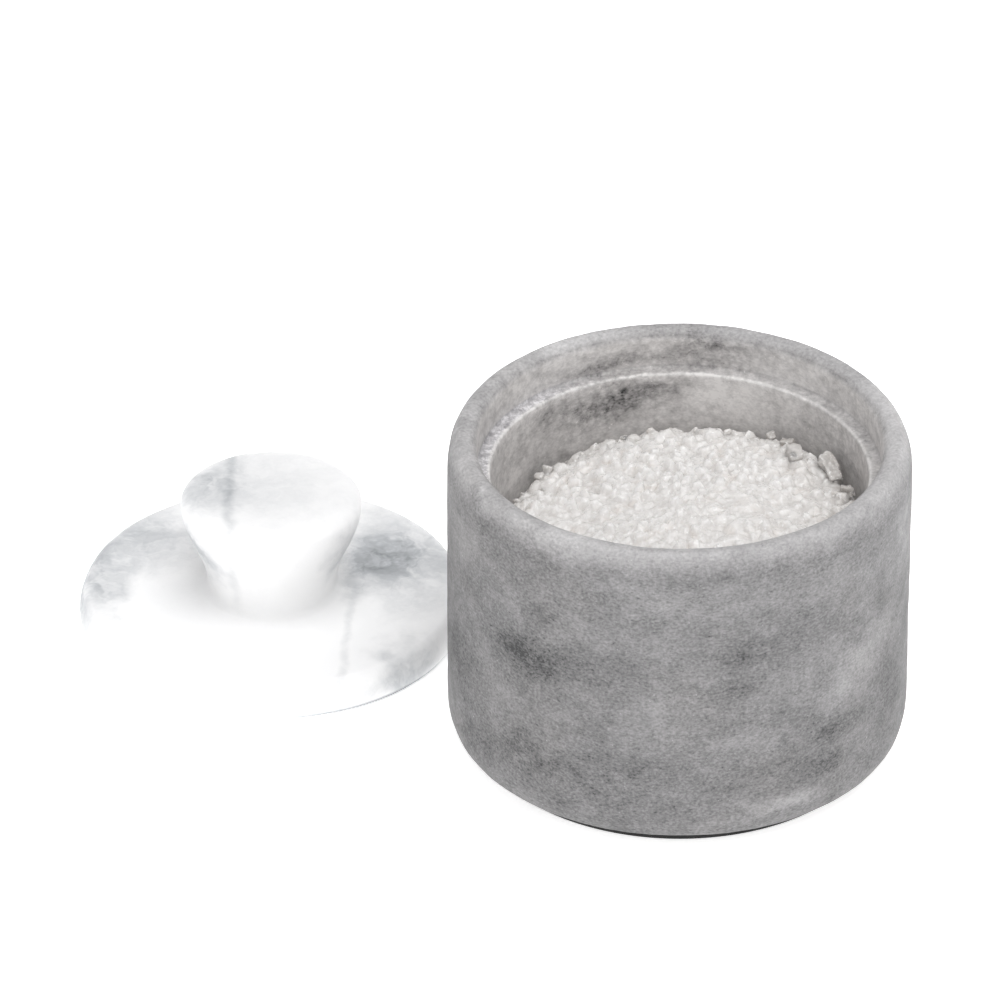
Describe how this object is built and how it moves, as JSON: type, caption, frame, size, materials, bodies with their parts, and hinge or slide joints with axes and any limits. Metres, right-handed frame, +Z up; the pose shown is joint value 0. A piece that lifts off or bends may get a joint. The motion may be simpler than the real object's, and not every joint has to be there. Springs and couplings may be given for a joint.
{
  "type": "salt cellar",
  "caption": "Round stone salt cellar with a stepped rim, a knobbed drop-in lid lying beside it, a rubber foot pad and a heap of coarse salt in the bowl.",
  "frame": {"origin": "centre of the foot pad's underside, where the pot stands on the table", "axes": "+Z up along the pot's axis; the lid lies towards -X and +Y, and the picture looks along +Y, down at 32 degrees"},
  "size_m": [0.1638, 0.1244, 0.0675],
  "materials": {
    "pot_stone": "satin",
    "lid_stone": "satin",
    "pad_rubber": "matte",
    "salt": "satin"
  },
  "bodies": {
    "cellar": {"pot": "pot_stone", "foot_pad": "pad_rubber", "salt_heap": "salt", "large_crystals": "salt"},
    "lid": {"lid": "lid_stone"}
  },
  "joints": [
    {"name": "lid_lift", "type": "slide", "parent": "cellar", "child": "lid", "axis": [0, 0, 1], "range_m": [0, 0.09]}
  ]
}
